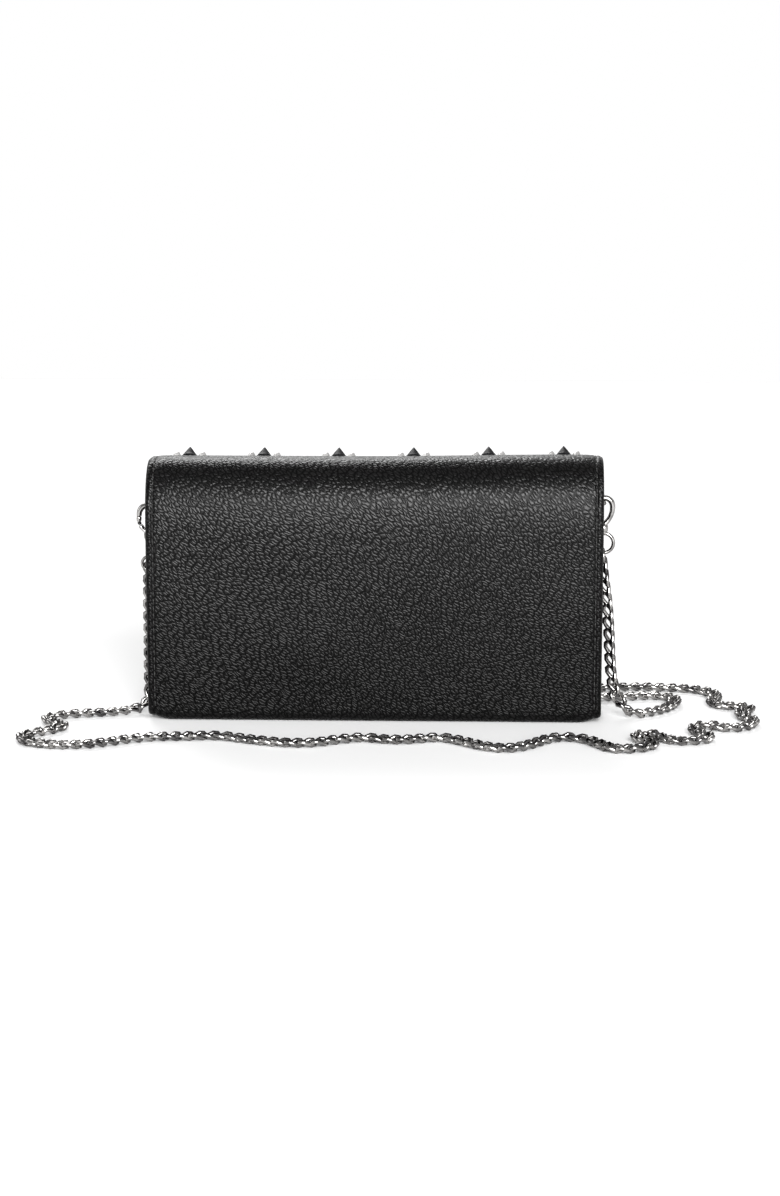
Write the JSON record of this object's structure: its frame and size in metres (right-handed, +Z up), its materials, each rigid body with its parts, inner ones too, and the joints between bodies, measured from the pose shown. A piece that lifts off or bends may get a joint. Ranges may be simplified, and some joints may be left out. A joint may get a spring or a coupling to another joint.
{
  "type": "chain wallet",
  "caption": "Slim leather wallet with a studded fold-over flap, inner pockets and a long shoulder chain on swivel clasps, standing with its chain laid round it.",
  "frame": {"origin": "on the floor under the middle of the base, halfway between the back face and the flap's front face", "axes": "+X along the wallet's width towards its left end seen from the back, +Y out of the back panel, +Z up; the studded flap faces -Y"},
  "size_m": [0.3056, 0.1208, 0.1119],
  "materials": {
    "black_leather": "pebbled, semi-gloss",
    "slot_leather": "smooth, satin",
    "lining_cloth": "woven, matte",
    "fibre_board": "raw, matte",
    "zipper_tape": "woven, matte",
    "black_metal": "black plated, gloss",
    "bright_steel": "polished",
    "gunmetal": "dark plated, polished",
    "chain_metal": "dark plated, polished"
  },
  "bodies": {
    "wallet": {"outer_shell": "black_leather", "shell_lining": "lining_cloth", "gusset_left": "black_leather", "gusset_right": "black_leather", "card_panel_top": "slot_leather", "card_panel_middle": "slot_leather", "card_panel_low": "slot_leather", "slip_pocket": "slot_leather", "zip_pocket": "slot_leather", "zipper_tape_front": "zipper_tape", "zipper_tape_rear": "zipper_tape", "zipper_teeth_front": "black_metal", "zipper_teeth_rear": "black_metal", "zipper_stops": "black_metal", "snap_socket": "bright_steel", "ring_tab_left": "black_leather", "ring_tab_right": "black_leather", "clasp_hook_left": "gunmetal", "clasp_hook_right": "gunmetal", "clasp_pin_left": "gunmetal", "clasp_pin_right": "gunmetal", "clasp_spring_left": "gunmetal", "clasp_spring_right": "gunmetal", "chain": "chain_metal"},
    "flap_spine": {"flap_spine_leather": "black_leather", "flap_spine_board": "fibre_board", "flap_spine_lining": "lining_cloth", "spine_black_cones": "black_metal", "spine_steel_cones": "bright_steel", "spine_cone_washers": "bright_steel"},
    "flap_front": {"flap_front_leather": "black_leather", "flap_front_board": "fibre_board", "flap_front_lining": "lining_cloth", "front_black_cones": "black_metal", "front_steel_cones": "bright_steel", "front_cone_washers": "bright_steel", "snap_stud": "bright_steel"},
    "slider": {"zipper_slider": "gunmetal"},
    "pull": {"zipper_pull": "gunmetal"},
    "d_ring_left": {"d_ring_left": "gunmetal"},
    "lever_left": {"clasp_lever_left": "gunmetal"},
    "swivel_left": {"swivel_eye_left": "gunmetal", "jump_ring_left": "gunmetal"},
    "d_ring_right": {"d_ring_right": "gunmetal"},
    "lever_right": {"clasp_lever_right": "gunmetal"},
    "swivel_right": {"swivel_eye_right": "gunmetal", "jump_ring_right": "gunmetal"}
  },
  "joints": [
    {"name": "flap_fold_rear", "type": "hinge", "parent": "wallet", "child": "flap_spine", "pos_m": [0, 0.016, 0.1], "axis": [-1, 0, 0], "range_deg": [0, 110]},
    {"name": "flap_fold_front", "type": "hinge", "parent": "flap_spine", "child": "flap_front", "pos_m": [0, -0.016, 0.1], "axis": [-1, 0, 0], "range_deg": [0, 70]},
    {"name": "zipper_slide", "type": "slide", "parent": "wallet", "child": "slider", "axis": [-1, 0, 0], "range_m": [0, 0.138]},
    {"name": "zipper_pull_swing", "type": "hinge", "parent": "slider", "child": "pull", "pos_m": [0.072, 0.0017, 0.089], "axis": [0, 1, 0], "range_deg": [0, 140]},
    {"name": "d_ring_swing_left", "type": "hinge", "parent": "wallet", "child": "d_ring_left", "pos_m": [0.0915, 0, 0.09245], "axis": [0, 1, 0], "range_deg": [0, 14]},
    {"name": "clasp_lever_left", "type": "hinge", "parent": "wallet", "child": "lever_left", "pos_m": [0.099, 0, 0.08055], "axis": [0, -1, 0], "range_deg": [0, 26], "stiffness_Nm_per_rad": 0.004, "springref_deg": -20.05},
    {"name": "swivel_turn_left", "type": "hinge", "parent": "wallet", "child": "swivel_left", "pos_m": [0.096, 0, 0.07615], "axis": [0, 0, 1], "continuous": true},
    {"name": "d_ring_swing_right", "type": "hinge", "parent": "wallet", "child": "d_ring_right", "pos_m": [-0.0915, 0, 0.09665], "axis": [0, -1, 0], "range_deg": [0, 14]},
    {"name": "clasp_lever_right", "type": "hinge", "parent": "wallet", "child": "lever_right", "pos_m": [-0.093, 0, 0.08475], "axis": [0, -1, 0], "range_deg": [0, 26], "stiffness_Nm_per_rad": 0.004, "springref_deg": -20.05},
    {"name": "swivel_turn_right", "type": "hinge", "parent": "wallet", "child": "swivel_right", "pos_m": [-0.096, 0, 0.08035], "axis": [0, 0, 1], "continuous": true}
  ]
}
